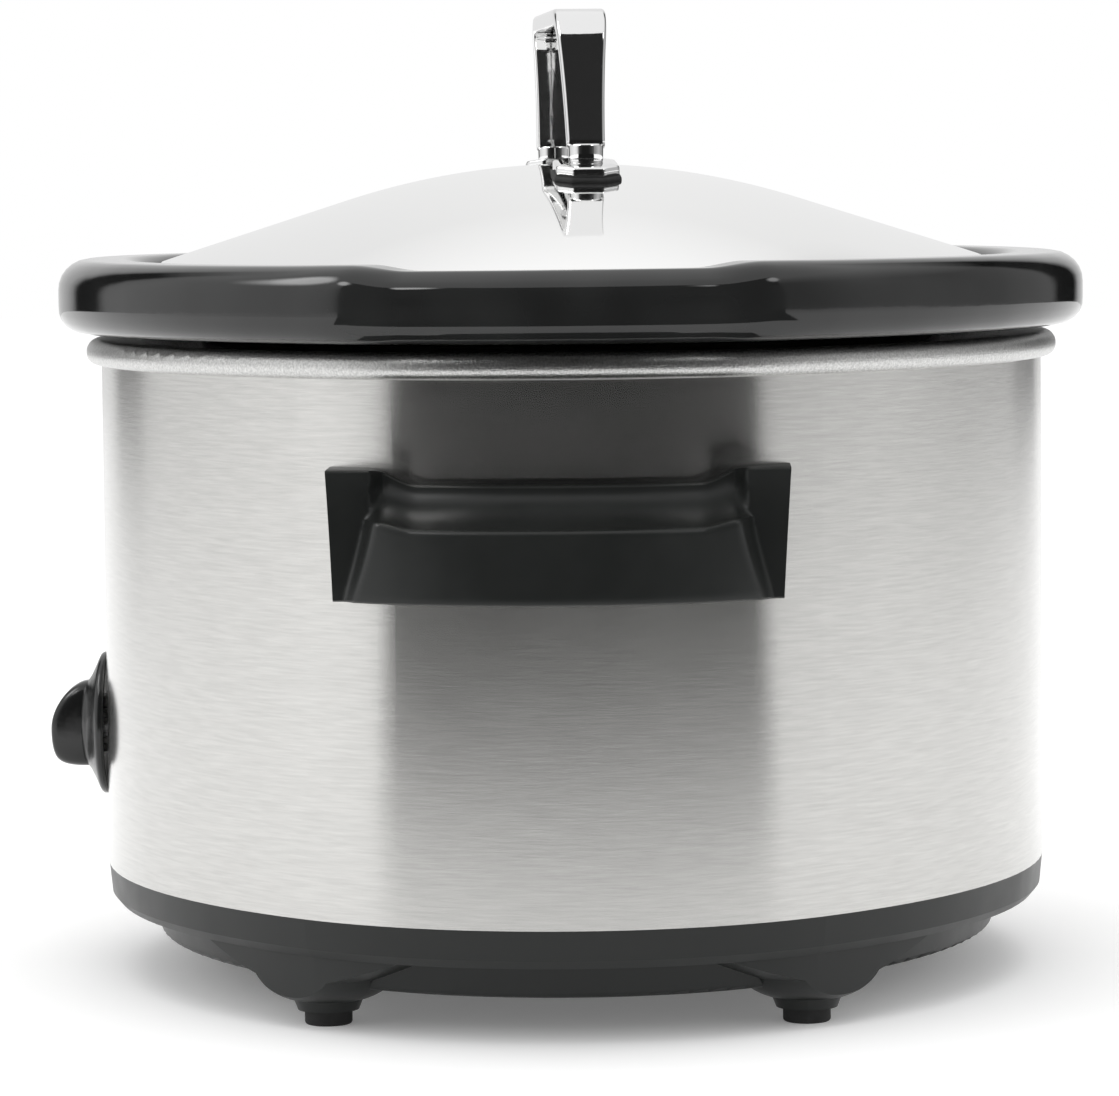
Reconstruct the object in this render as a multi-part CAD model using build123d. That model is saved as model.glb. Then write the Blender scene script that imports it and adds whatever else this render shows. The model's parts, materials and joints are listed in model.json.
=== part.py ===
from build123d import *
from math import atan2, cos, degrees, radians, sin, sqrt, tan
import os

# Slow cooker, millimetres. X runs along the oval, the control knob faces -Y, +Z is up.
# The origin is on the table, under the middle of the housing.

# Plan of the housing: an oval of four tangent arcs. Every ring is an offset of this oval.
HALF_LENGTH = 147.0
HALF_WIDTH = 118.0
END_RADIUS = 93.0

# Heights above the table
LEG_BOTTOM_Z = 3.5
FLOOR_Z = 9.6
BAND_Z = 18.0
SHELL_BOTTOM_Z = 27.0
SHELL_TOP_Z = 152.0
BEAD_TOP_Z = 158.5
RIM_BOTTOM_Z = 160.0
LEDGE_Z = 171.0
RIM_TOP_Z = 178.0
LID_TOP_Z = 200.6
HANDLE_TOP_Z = 238.5

# Base
FLOOR_THICKNESS = 3.0
LEG_X = 108.0
LEG_Y = 56.0
PAD_RADIUS = 5.6
VENT_LENGTH = 34.0
VENT_WIDTH = 3.0
VENT_PITCH = 10.0
VENT_ROWS = 5
VENT_X = 52.0
BAND_DEPTH = 16.0
LIP_Z = 33.0
PEG_RADIUS = 2.5
PEG_LENGTH = 5.5
TIE_RADIUS = 2.0
TIE_HOLE_RADIUS = 2.3
TIE_HALF_WIDTH = 9.0
TIE_DROP = 8.0
TIE_SHEET = 1.5

# Housing
SHELL_SHEET = 0.8
BEAD_OUT = 3.7
WELL_SHEET = 1.0
WELL_INSET = 21.5
WELL_FLOOR_Z = 33.0
WELL_UNDER_Z = WELL_FLOOR_Z - WELL_SHEET
BEAD_DEPTH = 10.0
HEATER_LOW_Z = 62.0
HEATER_HIGH_Z = 104.0
HEATER_THICKNESS = 1.5
CLAMP_HEIGHT = 8.0
SHIELD_Y = -100.2
SHIELD_SHEET = 0.6
SHIELD_HALF = 24.0
FUSE_X = 52.0
FUSE_RADIUS = 3.2
FUSE_HALF = 22.0
FUSE_DROP = 3.6
CLIP_HALF = 6.0
CLIP_EAR = 11.0

# Crock
RIM_OUT = 11.0
CROCK_INSET = 25.0
CROCK_WALL = 6.0
CROCK_TAPER = 6.0
CROCK_BOTTOM_Z = WELL_FLOOR_Z + 0.3
CROCK_FLOOR = 8.0
SEAT_INSET = 9.0

# Lid, turned a little in its loose seat
LID_INSET = 14.5
LID_CROWN_RADIUS = 185.0
LID_SHOULDER_ANGLE = 17.6
LID_LONG_RADIUS = 353.0
LID_SWEEP = 26.0
LID_SHEET = 0.9
LID_EDGE_Z = LEDGE_Z + 0.3
LID_TURN = 6.0
LEG_SPACING = 96.0
ARCH_SPACING = 70.0
STRAP_THICKNESS = 4.0
STRAP_TOP_WIDTH = 12.4
STRAP_FOOT_WIDTH = 9.0
FOOT_LENGTH = 19.0
FOOT_WIDTH = 15.4
COLLAR_TOP_Z = 207.0
COLLAR_RADIUS = 4.6
GASKET = 1.2
LID_HOLE_RADIUS = 2.3
LID_SCREW_RADIUS = 1.5
LID_SCREW_HEAD_Z = 189.0
LID_SCREW_SEAT_Z = 191.6

# Side handles
HANDLE_HALF = 52.5
HANDLE_REACH = 28.0
HANDLE_BOW = 19.0
HANDLE_BOTTOM_Z = 103.0
HANDLE_TOP = 132.0
HANDLE_WALL = 4.0
HANDLE_SCREW_ANGLE = 25.0
HANDLE_SCREW_Z = 120.0
HANDLE_SCREW_RADIUS = 1.7
HANDLE_END = 18.0
POCKET_DEPTH = 10.0
SCOOP_RADIUS = 24.5
SCOOP_Z = 141.5

# Control
KNOB_Z = 60.0
KNOB_RADIUS = 18.0
KNOB_FACE_Y = -(HALF_WIDTH + 15.0)
FLANGE_BACK_Y = -(HALF_WIDTH + 0.6)
FLANGE_FRONT_Y = -(HALF_WIDTH + 4.6)
GRIP_RADIUS = 11.0
GRIP_WIDTH = 13.0
SHAFT_RADIUS = 3.0
BUSH_RADIUS = 5.0
NUT_ACROSS_FLATS = 14.0
SWITCH_FRONT_Y = -115.6
SWITCH_BACK_Y = -101.8
SWITCH_HALF = 13.0
RUNNING_GAP = 0.05

# Cord inlet, low at the back and off to one side
INLET_X = -50.0
INLET_Z = 46.0
INLET_BORE_RADIUS = 3.6
GROMMET_NECK = 6.5
GROMMET_FLANGE = 9.0
GROMMET_OUT = 3.0

# Terminal block behind the inlet
TERMINAL_X = (-68.0, -36.0)
TERMINAL_Y = (60.0, 74.0)
TERMINAL_HEIGHT = 11.0
TERMINAL_PITCH = 10.0

END_SHIFT = HALF_LENGTH - END_RADIUS
SIDE_RADIUS = (HALF_WIDTH**2 + END_SHIFT**2 - END_RADIUS**2) / (2 * (HALF_WIDTH - END_RADIUS))
SIDE_SHIFT = SIDE_RADIUS - HALF_WIDTH
TANGENT_ANGLE = degrees(atan2(SIDE_SHIFT, END_SHIFT))
ARCS = [
    (END_SHIFT, 0.0, END_RADIUS, -TANGENT_ANGLE, 2 * TANGENT_ANGLE),
    (0.0, -SIDE_SHIFT, SIDE_RADIUS, TANGENT_ANGLE, 180 - 2 * TANGENT_ANGLE),
    (-END_SHIFT, 0.0, END_RADIUS, 180 - TANGENT_ANGLE, 2 * TANGENT_ANGLE),
    (0.0, SIDE_SHIFT, SIDE_RADIUS, 180 + TANGENT_ANGLE, 180 - 2 * TANGENT_ANGLE),
]
LEG_PLACES = [(x, y) for x in (-LEG_X, LEG_X) for y in (-LEG_Y, LEG_Y)]


def oval(offset):
    """The housing's oval as a face, moved outward by the offset."""
    edges = [
        CenterArc((x, y, 0), radius + offset, start, sweep)
        for x, y, radius, start, sweep in ARCS
    ]
    return make_face(Wire(edges))


def oval_block(offset, low, high):
    """A solid of the oval plan between two heights."""
    return Pos(0, 0, low) * extrude(oval(offset), high - low)


def oval_tube(outer, inner, low, high):
    """A straight ring of the oval plan."""
    return oval_block(outer, low, high) - oval_block(inner, low, high)


def round_oval(points, roundings=()):
    """Carry a section of (offset, height) points round the oval; roundings are (point index, radius)."""
    wire = Polyline(*[(x, z) for x, z in points], close=True)
    face = make_face(wire)
    for index, radius in roundings:
        x, z = points[index]
        corner = face.vertices().sort_by_distance((x, z, 0))[0]
        face = fillet(corner, radius)
    ring = None
    for x, y, radius, start, sweep in ARCS:
        section = Plane.XZ * Pos(radius, 0, 0) * face
        piece = Pos(x, y, 0) * Rot(0, 0, start) * revolve(section, Axis.Z, sweep)
        ring = piece if ring is None else ring + piece
    return ring


def rod_y(radius, x, z, near, far):
    """A cylinder along Y between two y values."""
    return Pos(x, near, z) * Rot(-90, 0, 0) * extrude(Circle(radius), far - near)


def rod_z(radius, x, y, low, high):
    """An upright cylinder."""
    return Pos(x, y, low) * extrude(Circle(radius), high - low)


def block(x, y, z):
    """A box from three (low, high) pairs."""
    size = [high - low for low, high in (x, y, z)]
    return Pos(x[0], y[0], z[0]) * Box(*size, align=(Align.MIN, Align.MIN, Align.MIN))


def lid_turned(shape):
    """Turn a piece with the lid about the vertical."""
    return Rot(0, 0, LID_TURN) * shape


# ---- base ------------------------------------------------------------------


def leg():
    """One moulded leg: a foot that flares up into the underside of the band."""
    outline = [
        Line((0, LEG_BOTTOM_Z), (7.2, LEG_BOTTOM_Z)),
        Line((7.2, LEG_BOTTOM_Z), (8.2, 6.0)),
        ThreePointArc((8.2, 6.0), (13.4, 8.2), (17.0, 12.0)),
        ThreePointArc((17.0, 12.0), (24.0, 14.6), (34.0, BAND_Z + 0.5)),
        Line((34.0, BAND_Z + 0.5), (0, BAND_Z + 0.5)),
        Line((0, BAND_Z + 0.5), (0, LEG_BOTTOM_Z)),
    ]
    return revolve(Plane.XZ * make_face(Wire(outline)), Axis.Z)


def base_moulding():
    """Plastic tray: outer band, inset step, floor with vents, four legs and a locating lip."""
    band = round_oval(
        [(0.0, SHELL_BOTTOM_Z), (-0.7, BAND_Z + 2.0), (-2.4, BAND_Z), (-BAND_DEPTH, BAND_Z),
         (-BAND_DEPTH, BAND_Z + FLOOR_THICKNESS), (-5.0, BAND_Z + FLOOR_THICKNESS), (-5.0, LIP_Z),
         (-2.0, LIP_Z), (-2.0, SHELL_BOTTOM_Z)]
    )
    step = round_oval(
        [(-11.0, BAND_Z + 1.0), (-13.0, FLOOR_Z), (-18.0, FLOOR_Z), (-BAND_DEPTH, BAND_Z + 1.0)],
        [(1, 1.5)],
    )
    floor = oval_block(-15.0, FLOOR_Z, FLOOR_Z + FLOOR_THICKNESS)
    tray = band + step + floor
    hollow = oval_block(-18.0, FLOOR_Z + FLOOR_THICKNESS, BAND_Z + FLOOR_THICKNESS)
    for x, y in LEG_PLACES:
        foot = Pos(x, y, 0) * leg() & oval_block(-3.0, 0, BAND_Z + 1.0)
        tray += foot - hollow
    for x, y in LEG_PLACES:
        tray -= rod_z(PEG_RADIUS, x, y, 0, LEG_BOTTOM_Z + PEG_LENGTH + 0.5)
    for side in (-1, 1):
        for row in range(VENT_ROWS):
            slot = extrude(SlotOverall(VENT_LENGTH, VENT_WIDTH), FLOOR_THICKNESS + 2)
            y = (row - VENT_ROWS // 2) * VENT_PITCH
            tray -= Pos(side * VENT_X, y, FLOOR_Z - 1) * slot
    return tray - rod_z(TIE_HOLE_RADIUS, 0, 0, 0, BAND_Z)


def foot_pads():
    """Rubber pads pushed into the legs by a spigot."""
    pads = []
    for x, y in LEG_PLACES:
        disc = rod_z(PAD_RADIUS, x, y, 0, LEG_BOTTOM_Z)
        disc = fillet(disc.edges().sort_by(Axis.Z)[0], 0.8)
        pads.append(disc + rod_z(PEG_RADIUS, x, y, LEG_BOTTOM_Z, LEG_BOTTOM_Z + PEG_LENGTH))
    return Compound(pads)


def tie_bracket():
    """Strap welded under the well, with a dropped middle that the tie bolt pulls on."""
    top = WELL_UNDER_Z
    width = (-TIE_HALF_WIDTH, TIE_HALF_WIDTH)
    middle = block((-16, 16), width, (top - TIE_DROP, top - TIE_DROP + TIE_SHEET))
    middle -= rod_z(TIE_HOLE_RADIUS, 0, 0, top - TIE_DROP - 1, top)
    sides = [block((x, x + TIE_SHEET), width, (top - TIE_DROP, top)) for x in (-16, 16 - TIE_SHEET)]
    feet = [block(x, width, (top - TIE_SHEET, top)) for x in ((-30, -16), (16, 30))]
    return middle + sides[0] + sides[1] + feet[0] + feet[1]


def tie_bolt():
    """Bolt up through the floor of the base into the tie bracket."""
    head = fillet(rod_z(2 * TIE_RADIUS, 0, 0, FLOOR_Z - 2.0, FLOOR_Z).edges().sort_by(Axis.Z)[0], 1.2)
    return head + rod_z(TIE_RADIUS, 0, 0, FLOOR_Z, WELL_UNDER_Z - 2.0)


def tie_nut():
    """Hexagon nut on top of the tie bracket's middle."""
    low = WELL_UNDER_Z - TIE_DROP + TIE_SHEET
    nut = Pos(0, 0, low) * extrude(RegularPolygon(2 * TIE_RADIUS, 6), 3.2)
    return nut - rod_z(TIE_RADIUS, 0, 0, low, low + 4.0)


# ---- housing ---------------------------------------------------------------


def at_inlet(shape):
    """Turn a shape that points along +Y at x = 0 round the back wall to the cord inlet."""
    angle = degrees(atan2(-INLET_X, sqrt(SIDE_RADIUS**2 - INLET_X**2)))
    return Pos(0, -SIDE_SHIFT, 0) * Rot(0, 0, angle) * Pos(0, SIDE_SHIFT, 0) * shape


def at_handle_screw(end, side, shape):
    """Place a shape drawn along +X from the end arc's centre at one handle screw."""
    turn = side * HANDLE_SCREW_ANGLE + (0 if end > 0 else 180)
    return Pos(end * END_SHIFT, 0, HANDLE_SCREW_Z) * Rot(0, 0, turn) * shape


def rod_x(radius, near, far):
    """A cylinder along X on the axis."""
    return Pos(near, 0, 0) * Rot(0, 90, 0) * extrude(Circle(radius), far - near)


def outer_shell():
    """Brushed steel band with holes for the switch, the cord and the handle screws."""
    shell = oval_tube(0.0, -SHELL_SHEET, SHELL_BOTTOM_Z, SHELL_TOP_Z)
    shell -= rod_y(BUSH_RADIUS + 0.2, 0, KNOB_Z, -HALF_WIDTH - 5, -HALF_WIDTH + 8)
    shell -= at_inlet(rod_y(GROMMET_NECK, 0, INLET_Z, HALF_WIDTH - 8, HALF_WIDTH + 5))
    for end in (-1, 1):
        for side in (-1, 1):
            shell -= at_handle_screw(end, side, rod_x(2.2, END_RADIUS - 6, END_RADIUS + 6))
    return shell


def rim_bead():
    """Rolled bead that caps the shell and the flange of the well."""
    return round_oval(
        [(-BEAD_DEPTH, SHELL_TOP_Z), (BEAD_OUT, SHELL_TOP_Z), (BEAD_OUT, BEAD_TOP_Z),
         (-BEAD_DEPTH, BEAD_TOP_Z - 1.0)],
        [(1, 2.6), (2, 3.2)],
    )


def heating_well():
    """Deep drawn liner: flange under the bead, straight wall and flat floor."""
    flange = oval_tube(-SHELL_SHEET - 0.1, -WELL_INSET, SHELL_TOP_Z - WELL_SHEET, SHELL_TOP_Z)
    wall = oval_tube(-WELL_INSET, -WELL_INSET - WELL_SHEET, WELL_UNDER_Z, SHELL_TOP_Z)
    floor = oval_block(-WELL_INSET, WELL_UNDER_Z, WELL_FLOOR_Z)
    return flange + wall + floor


def band_heater():
    """Flat heating band wrapped round the wall of the well."""
    gap = -WELL_INSET + 0.1
    return oval_tube(gap + HEATER_THICKNESS, gap, HEATER_LOW_Z, HEATER_HIGH_Z)


def heater_clamps():
    """Two spring steel bands that hold the heater tight."""
    inner = -WELL_INSET + HEATER_THICKNESS + 0.2
    lows = (HEATER_LOW_Z + 4.0, HEATER_HIGH_Z - CLAMP_HEIGHT - 4.0)
    return Compound([oval_tube(inner + 0.6, inner, z, z + CLAMP_HEIGHT) for z in lows])


def heat_shield():
    """Bent sheet between the heater and the switch."""
    width = (-SHIELD_HALF, SHIELD_HALF)
    low = WELL_UNDER_Z - SHIELD_SHEET
    plate = block(width, (SHIELD_Y, SHIELD_Y + SHIELD_SHEET), (low, HEATER_HIGH_Z + 8.0))
    foot = block(width, (SHIELD_Y, SHIELD_Y + 10.2), (low, WELL_UNDER_Z))
    return plate + foot


def thermal_fuse():
    """One-shot fuse lying under the floor of the well."""
    axis = Pos(FUSE_X, 0, WELL_UNDER_Z - FUSE_DROP) * Rot(0, 90, 0)
    return axis * extrude(Circle(FUSE_RADIUS), FUSE_HALF, both=True)


def fuse_clip():
    """Saddle that presses the fuse against the well."""
    top = WELL_UNDER_Z
    along = (FUSE_X - CLIP_HALF, FUSE_X + CLIP_HALF)
    side = FUSE_RADIUS + 1.0
    saddle = block(along, (-side, side), (top - 8.0, top))
    bed = extrude(Circle(FUSE_RADIUS + 0.05), 2 * CLIP_HALF, both=True)
    saddle -= Pos(FUSE_X, 0, top - FUSE_DROP) * Rot(0, 90, 0) * bed
    saddle -= block((along[0] - 1, along[1] + 1), (-FUSE_RADIUS, FUSE_RADIUS), (top - FUSE_DROP, top + 1))
    ears = [block(along, y, (top - 0.8, top)) for y in ((-CLIP_EAR, -side), (side, CLIP_EAR))]
    return saddle + ears[0] + ears[1]


def terminal_block():
    """Connector for the supply wires, on the floor of the base."""
    floor = FLOOR_Z + FLOOR_THICKNESS
    body = block(TERMINAL_X, TERMINAL_Y, (floor, floor + TERMINAL_HEIGHT))
    for way in range(3):
        x = TERMINAL_X[0] + 6.0 + TERMINAL_PITCH * way
        body -= rod_y(2.0, x, floor + 6, TERMINAL_Y[0] - 2, TERMINAL_Y[1] + 2)
    return body


def cord_grommet():
    """Flanged rubber grommet in the back wall; its bore takes the supply cord."""
    neck = rod_y(GROMMET_NECK, 0, INLET_Z, HALF_WIDTH - 3.5, HALF_WIDTH + GROMMET_OUT)
    outside = rod_y(GROMMET_FLANGE, 0, INLET_Z, HALF_WIDTH - 0.5, HALF_WIDTH + GROMMET_OUT)
    outside = fillet(outside.edges().sort_by(Axis.Y)[-1], 1.2)
    inside = rod_y(8.2, 0, INLET_Z, HALF_WIDTH - 4.0, HALF_WIDTH - SHELL_SHEET)
    grommet = at_inlet(neck + outside + inside) - outer_shell()
    return grommet - at_inlet(rod_y(INLET_BORE_RADIUS, 0, INLET_Z, HALF_WIDTH - 8, HALF_WIDTH + 8))


# ---- side handles ----------------------------------------------------------


def bowed_plan(inner, inset, half):
    """Plan between the end wall (moved out by inner) and the bowed front (moved in by inset)."""
    front = HALF_LENGTH + HANDLE_REACH - inset
    bow_radius = (HANDLE_HALF**2 + HANDLE_BOW**2) / (2 * HANDLE_BOW)
    bow = Pos(HALF_LENGTH + HANDLE_REACH - bow_radius, 0) * Circle(bow_radius - inset)
    strip = Pos((HALF_LENGTH - 30 + front + 5) / 2, 0) * Rectangle(front - HALF_LENGTH + 35, 2 * half)
    return (bow & strip) - Pos(END_SHIFT, 0) * Circle(END_RADIUS + inner)


def side_handle(end):
    """Bowed grip: scooped on top, hollow underneath for the fingers, solid at both ends."""
    height = HANDLE_TOP - HANDLE_BOTTOM_Z
    grip = Pos(0, 0, HANDLE_BOTTOM_Z) * extrude(bowed_plan(0.0, 0.0, HANDLE_HALF), height)
    scoop = extrude(Circle(SCOOP_RADIUS), HANDLE_HALF - 10.0, both=True)
    scoop = Pos(HALF_LENGTH + HANDLE_REACH + 2.0, 0, SCOOP_Z) * Rot(90, 0, 0) * scoop
    slot = Pos(0, 0, HANDLE_TOP - 3.0) * extrude(bowed_plan(-1.0, -1.0, HANDLE_HALF - 12.0), 6.0)
    pocket = bowed_plan(HANDLE_WALL, HANDLE_WALL, HANDLE_HALF - HANDLE_END)
    pocket = Pos(0, 0, HANDLE_BOTTOM_Z - 1.0) * extrude(pocket, POCKET_DEPTH + 1.0)
    grip = grip - scoop - slot - pocket
    if end < 0:
        grip = mirror(grip, Plane.YZ)
    for side in (-1, 1):
        grip -= at_handle_screw(end, side, rod_x(HANDLE_SCREW_RADIUS, END_RADIUS - 2, END_RADIUS + 14.0))
    return grip


def handle_screws():
    """Four screws that hold the side handles from inside the shell."""
    screws = []
    inside = END_RADIUS - SHELL_SHEET
    for end in (-1, 1):
        for side in (-1, 1):
            head = rod_x(3.8, inside - 2.6, inside - 0.2)
            shank = rod_x(HANDLE_SCREW_RADIUS, inside - 0.2, END_RADIUS + 13.0)
            screws.append(at_handle_screw(end, side, head + shank))
    return Compound(screws)


# ---- control ---------------------------------------------------------------


def rotary_switch():
    """Switch body behind the shell, with its threaded bush through the wall."""
    body = block((-SWITCH_HALF, SWITCH_HALF), (SWITCH_FRONT_Y, SWITCH_BACK_Y), (KNOB_Z - 12, KNOB_Z + 12))
    bush = rod_y(BUSH_RADIUS, 0, KNOB_Z, -HALF_WIDTH - 2.6, SWITCH_FRONT_Y)
    depth = (SWITCH_BACK_Y, SWITCH_BACK_Y + 0.8)
    tabs = [block((x, x + 1.0), depth, (KNOB_Z - 4, KNOB_Z + 4)) for x in (-8, -0.5, 7)]
    switch = body + bush + tabs[0] + tabs[1] + tabs[2]
    return switch - rod_y(SHAFT_RADIUS + RUNNING_GAP, 0, KNOB_Z, -HALF_WIDTH - 3, -104.0)


def switch_washer():
    """Washer under the nut, fitted to the curve of the shell."""
    disc = rod_y(7.6, 0, KNOB_Z, -HALF_WIDTH - 0.7, -HALF_WIDTH + 3)
    disc -= rod_y(BUSH_RADIUS, 0, KNOB_Z, -HALF_WIDTH - 4, -HALF_WIDTH + 8)
    return disc - oval_block(0.0, SHELL_BOTTOM_Z, SHELL_TOP_Z)


def switch_nut():
    """Thin hexagon nut that clamps the switch to the shell."""
    flat = RegularPolygon(NUT_ACROSS_FLATS / 2, 6, major_radius=False)
    nut = Pos(0, -HALF_WIDTH - 2.5, KNOB_Z) * Rot(-90, 0, 0) * extrude(flat, 1.8)
    return nut - rod_y(BUSH_RADIUS, 0, KNOB_Z, -HALF_WIDTH - 4, -HALF_WIDTH + 8)


def switch_shaft():
    """Shaft with a flat, turning in the bush."""
    shaft = rod_y(SHAFT_RADIUS, 0, KNOB_Z, KNOB_FACE_Y + 4.0, -104.4)
    flat = block((-4, 4), (KNOB_FACE_Y + 2.0, FLANGE_BACK_Y), (KNOB_Z + 1.6, KNOB_Z + 5))
    return shaft - flat


def control_knob():
    """Coned flange with a rounded grip bar across it, recessed behind to cover the nut."""
    flange = rod_y(KNOB_RADIUS, 0, KNOB_Z, FLANGE_FRONT_Y, FLANGE_BACK_Y)
    flange = chamfer(flange.edges().sort_by(Axis.Y)[0], 3.2, 5.5)
    core = rod_y(GRIP_RADIUS, 0, KNOB_Z, KNOB_FACE_Y, FLANGE_FRONT_Y)
    core = fillet(core.edges().sort_by(Axis.Y)[0], 3.0)
    half = GRIP_WIDTH / 2
    bar = block((-half, half), (KNOB_FACE_Y, FLANGE_FRONT_Y), (KNOB_Z - GRIP_RADIUS, KNOB_Z + GRIP_RADIUS))
    knob = flange + (core & bar)
    knob -= rod_y(9.0, 0, KNOB_Z, -HALF_WIDTH - 2.9, -HALF_WIDTH)
    return knob - switch_shaft()


# ---- crock -----------------------------------------------------------------


def crock():
    """Stoneware pot: heavy rounded rim, ledge for the lid, tapered wall, flat floor."""
    outer_top = -CROCK_INSET
    outer_low = outer_top - CROCK_TAPER
    inner_top = outer_top - CROCK_WALL
    inner_low = outer_low - CROCK_WALL
    floor_top = CROCK_BOTTOM_Z + CROCK_FLOOR
    core = inner_low - 16.0
    pot = round_oval(
        [(RIM_OUT, RIM_BOTTOM_Z), (RIM_OUT, RIM_TOP_Z), (-SEAT_INSET, RIM_TOP_Z), (-SEAT_INSET, LEDGE_Z),
         (inner_top, LEDGE_Z - 1.0), (inner_low, floor_top), (core, floor_top), (core, CROCK_BOTTOM_Z),
         (outer_low, CROCK_BOTTOM_Z), (outer_top, RIM_BOTTOM_Z)],
        [(0, 5.5), (1, 7.0), (2, 4.0), (5, 10.0), (8, 12.0), (9, 3.0)],
    )
    return pot + oval_block(core + 1.0, CROCK_BOTTOM_Z, floor_top)


# ---- lid -------------------------------------------------------------------


def dome(shrink, drop):
    """Solid under the lid's surface: a flattened arc across, itself bent along the oval in one long arc."""
    top = LID_TOP_Z - drop
    axis_z = LID_TOP_Z - LID_LONG_RADIUS
    turn = radians(LID_SHOULDER_ANGLE)
    shoulder_y = LID_CROWN_RADIUS * sin(turn)
    shoulder_z = top - LID_CROWN_RADIUS * (1 - cos(turn))
    reach = HALF_WIDTH
    edge_z = shoulder_z - (reach - shoulder_y) * tan(turn)
    low = LEDGE_Z - 20.0
    crown = ThreePointArc((-shoulder_y, shoulder_z), (0, top), (shoulder_y, shoulder_z))
    below = Polyline((shoulder_y, shoulder_z), (reach, edge_z), (reach, low), (-reach, low),
                     (-reach, edge_z), (-shoulder_y, shoulder_z))
    face = make_face(crown.edges() + below.edges())
    section = Rot(0, -LID_SWEEP, 0) * (Pos(0, 0, -axis_z) * (Plane.YZ * face))
    bent = Pos(0, 0, axis_z) * revolve(section, Axis.Y, 2 * LID_SWEEP)
    return bent & oval_block(-LID_INSET - shrink, LID_EDGE_Z - drop, LID_TOP_Z + 5)


def lid_screw_places():
    """Where the handle's legs stand, in the lid's own frame."""
    return [-LEG_SPACING / 2, LEG_SPACING / 2]


def lid_dome():
    """Drawn steel lid with a hole for each handle screw."""
    sheet = dome(0.0, 0.0) - dome(LID_SHEET, LID_SHEET)
    for x in lid_screw_places():
        sheet -= rod_z(LID_HOLE_RADIUS, x, 0, LEDGE_Z, LID_TOP_Z + 5)
    return lid_turned(sheet)


def lid_handle():
    """Chrome strap bent into a low arch, wide at the top and narrow at the feet."""
    foot, arch, top = LEG_SPACING / 2, ARCH_SPACING / 2, HANDLE_TOP_Z
    low = COLLAR_TOP_Z
    half = STRAP_THICKNESS / 2
    outside = [(-foot - half, low), (-arch - 3 * half, top), (arch + 3 * half, top), (foot + half, low)]
    under = top - STRAP_THICKNESS
    inside = [(foot - half, low), (arch, under), (-arch, under), (-foot + half, low)]
    face = make_face(Polyline(*outside, *inside, close=True))
    for x, z, radius in ((arch + 3 * half, top, 12.0), (arch, under, 8.0)):
        for sign in (-1, 1):
            corner = face.vertices().sort_by_distance((sign * x, z, 0))[0]
            face = fillet(corner, radius)
    strap = extrude(Plane.XZ * face, STRAP_TOP_WIDTH, both=True)
    waist, crown = STRAP_FOOT_WIDTH / 2, STRAP_TOP_WIDTH / 2
    taper = make_face(Polyline((-waist, low), (waist, low), (crown, top), (-crown, top), close=True))
    strap = strap & extrude(Plane.YZ * taper, LEG_SPACING, both=True)
    return lid_turned(strap)


def foot_block(x, low, high, grow):
    """Octagonal plate under one leg."""
    plate = Rectangle(FOOT_LENGTH + 2 * grow, FOOT_WIDTH + 2 * grow)
    plate = chamfer(plate.vertices(), 4.0)
    return Pos(x, 0, low) * extrude(plate, high - low)


def handle_feet():
    """Plate and collar under each leg of the strap."""
    feet = []
    for x in lid_screw_places():
        plate = foot_block(x, 195.0, 201.6, 0.0)
        foot = plate + rod_z(COLLAR_RADIUS, x, 0, 201.0, COLLAR_TOP_Z)
        foot = foot - dome(-GASKET, -GASKET) - rod_z(LID_SCREW_RADIUS, x, 0, 190, COLLAR_TOP_Z - 1.0)
        feet.append(lid_turned(foot))
    return Compound(feet)


def handle_gaskets():
    """Rubber pads between the feet and the lid."""
    pads = []
    for x in lid_screw_places():
        pad = foot_block(x, 190.0, 201.0, 0.6) & dome(-GASKET, -GASKET)
        pad = pad - dome(0.0, 0.0) - rod_z(LID_HOLE_RADIUS, x, 0, 190, 205)
        pads.append(lid_turned(pad))
    return Compound(pads)


def lid_screws():
    """Screws up through the lid into the strap."""
    screws = []
    for x in lid_screw_places():
        head = rod_z(4.0, x, 0, LID_SCREW_HEAD_Z, LID_SCREW_SEAT_Z)
        shank = rod_z(LID_SCREW_RADIUS, x, 0, LID_SCREW_SEAT_Z, COLLAR_TOP_Z - 1.0)
        screws.append(lid_turned(head + shank))
    return Compound(screws)


def screw_washers():
    """Cupped washers under the screw heads, fitted to the inside of the lid."""
    washers = []
    for x in lid_screw_places():
        washer = rod_z(5.0, x, 0, LID_SCREW_SEAT_Z, 200.0) & dome(LID_SHEET, LID_SHEET)
        washer -= rod_z(LID_SCREW_RADIUS + 0.2, x, 0, 190, 202)
        washers.append(lid_turned(washer))
    return Compound(washers)


NODES = {
    "base_moulding": base_moulding,
    "foot_pads": foot_pads,
    "tie_bracket": tie_bracket,
    "tie_bolt": tie_bolt,
    "tie_nut": tie_nut,
    "outer_shell": outer_shell,
    "rim_bead": rim_bead,
    "heating_well": heating_well,
    "band_heater": band_heater,
    "heater_clamps": heater_clamps,
    "heat_shield": heat_shield,
    "thermal_fuse": thermal_fuse,
    "fuse_clip": fuse_clip,
    "terminal_block": terminal_block,
    "cord_grommet": cord_grommet,
    "side_handle_left": lambda: side_handle(-1),
    "side_handle_right": lambda: side_handle(1),
    "handle_screws": handle_screws,
    "rotary_switch": rotary_switch,
    "switch_washer": switch_washer,
    "switch_nut": switch_nut,
    "switch_shaft": switch_shaft,
    "control_knob": control_knob,
    "crock": crock,
    "lid_dome": lid_dome,
    "lid_handle": lid_handle,
    "handle_feet": handle_feet,
    "handle_gaskets": handle_gaskets,
    "lid_screws": lid_screws,
    "screw_washers": screw_washers,
}

os.makedirs("parts", exist_ok=True)
for name, make in NODES.items():
    export_step(make(), f"parts/{name}.step")
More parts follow.
